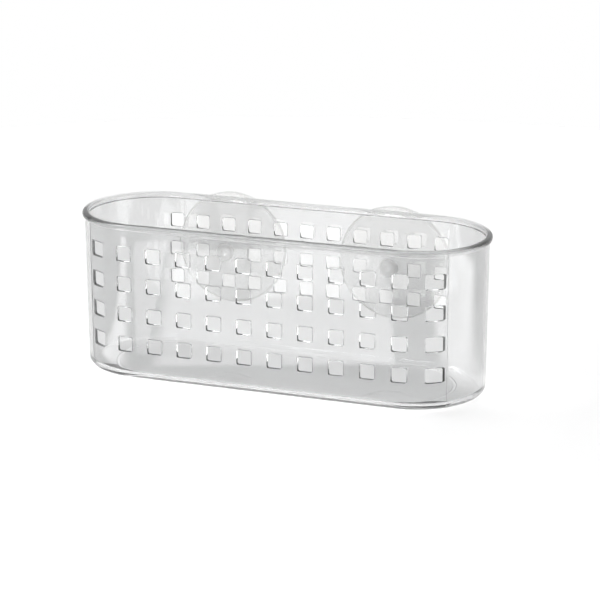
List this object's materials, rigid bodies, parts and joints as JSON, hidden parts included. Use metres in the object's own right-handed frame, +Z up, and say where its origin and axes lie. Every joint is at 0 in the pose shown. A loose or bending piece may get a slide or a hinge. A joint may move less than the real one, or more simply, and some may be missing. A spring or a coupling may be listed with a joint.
{
  "type": "suction shower caddy",
  "caption": "Clear moulded basket with rounded ends and square drain holes, held on a wall by suction cups behind it.",
  "frame": {"origin": "on the plane that the foot ridge stands on, midway along the basket, and midway between the front of the rim and the plane of the suction cups' lips", "axes": "+X along the basket to the right as seen from its front, +Y back to the wall, +Z up"},
  "size_m": [0.2928, 0.1116, 0.1125],
  "materials": {
    "clear_styrene": "clear high gloss",
    "clear_soft_vinyl": "clear soft gloss"
  },
  "bodies": {
    "basket_body": {"basket": "clear_styrene"},
    "left_cup": {"left_suction_cup": "clear_soft_vinyl"},
    "right_cup": {"right_suction_cup": "clear_soft_vinyl"}
  },
  "joints": [
    {"name": "left_cup_turn", "type": "hinge", "parent": "basket_body", "child": "left_cup", "pos_m": [-0.0613, 0.04396, 0.0715], "axis": [0, 1, 0], "continuous": true},
    {"name": "right_cup_turn", "type": "hinge", "parent": "basket_body", "child": "right_cup", "pos_m": [0.0613, 0.04396, 0.0715], "axis": [0, 1, 0], "continuous": true}
  ]
}
